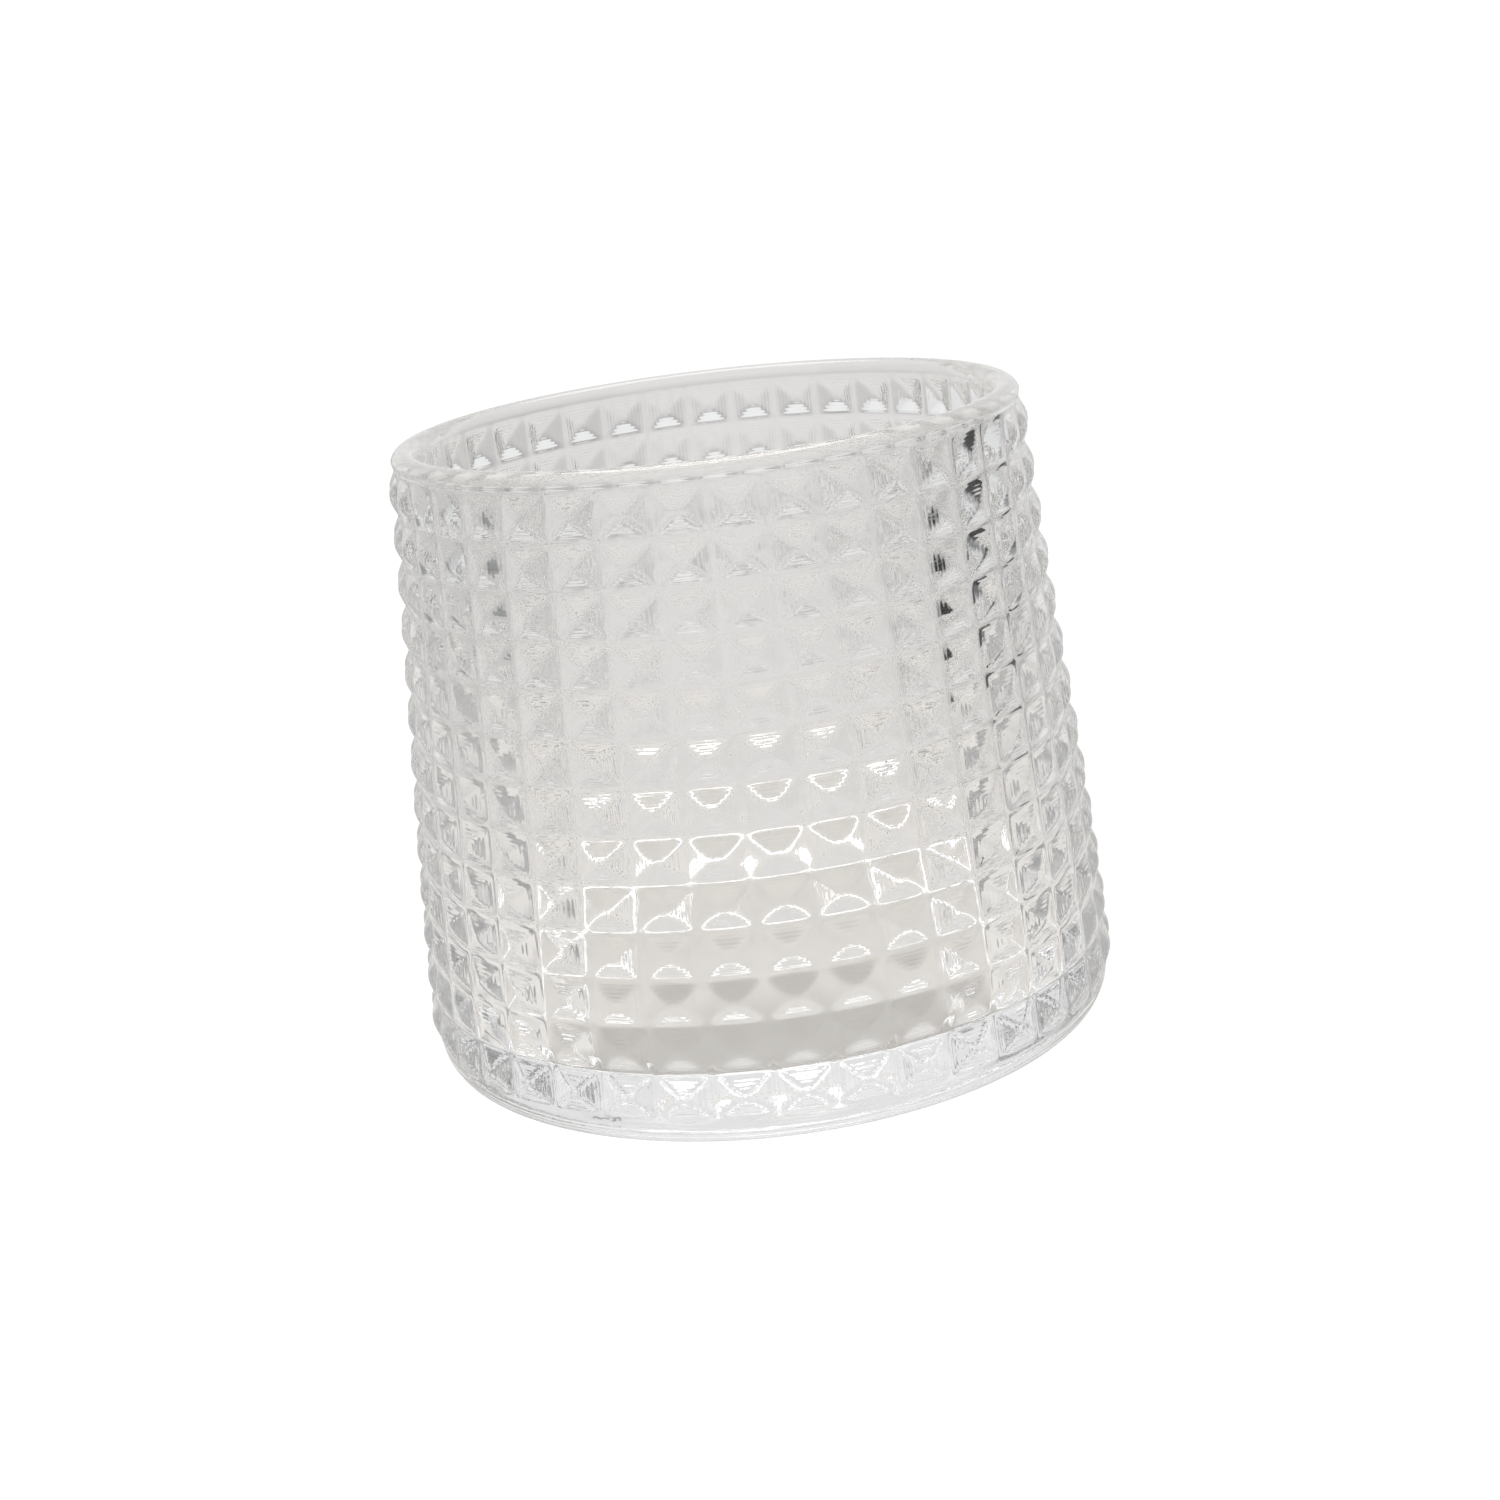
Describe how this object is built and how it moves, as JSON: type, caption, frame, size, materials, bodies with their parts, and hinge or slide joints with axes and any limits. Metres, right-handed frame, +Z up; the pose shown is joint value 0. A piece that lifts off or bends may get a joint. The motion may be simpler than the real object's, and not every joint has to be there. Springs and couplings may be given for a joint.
{
  "type": "tealight holder",
  "caption": "Thick round pressed-glass tealight holder covered in rows of small pyramid studs, slightly wider at the foot than at the smooth rounded rim, with an open straight-sided well.",
  "frame": {"origin": "centre of the glass's flat underside", "axes": "+Z up along the glass's axis of revolution; a groove between two stud columns faces -Y"},
  "size_m": [0.09, 0.0899, 0.0798],
  "materials": {
    "clear_glass": "clear pressed glass, fire-polished, faintly warm, with soft ripples"
  },
  "bodies": {
    "root": {"glass_holder": "clear_glass"}
  },
  "joints": []
}
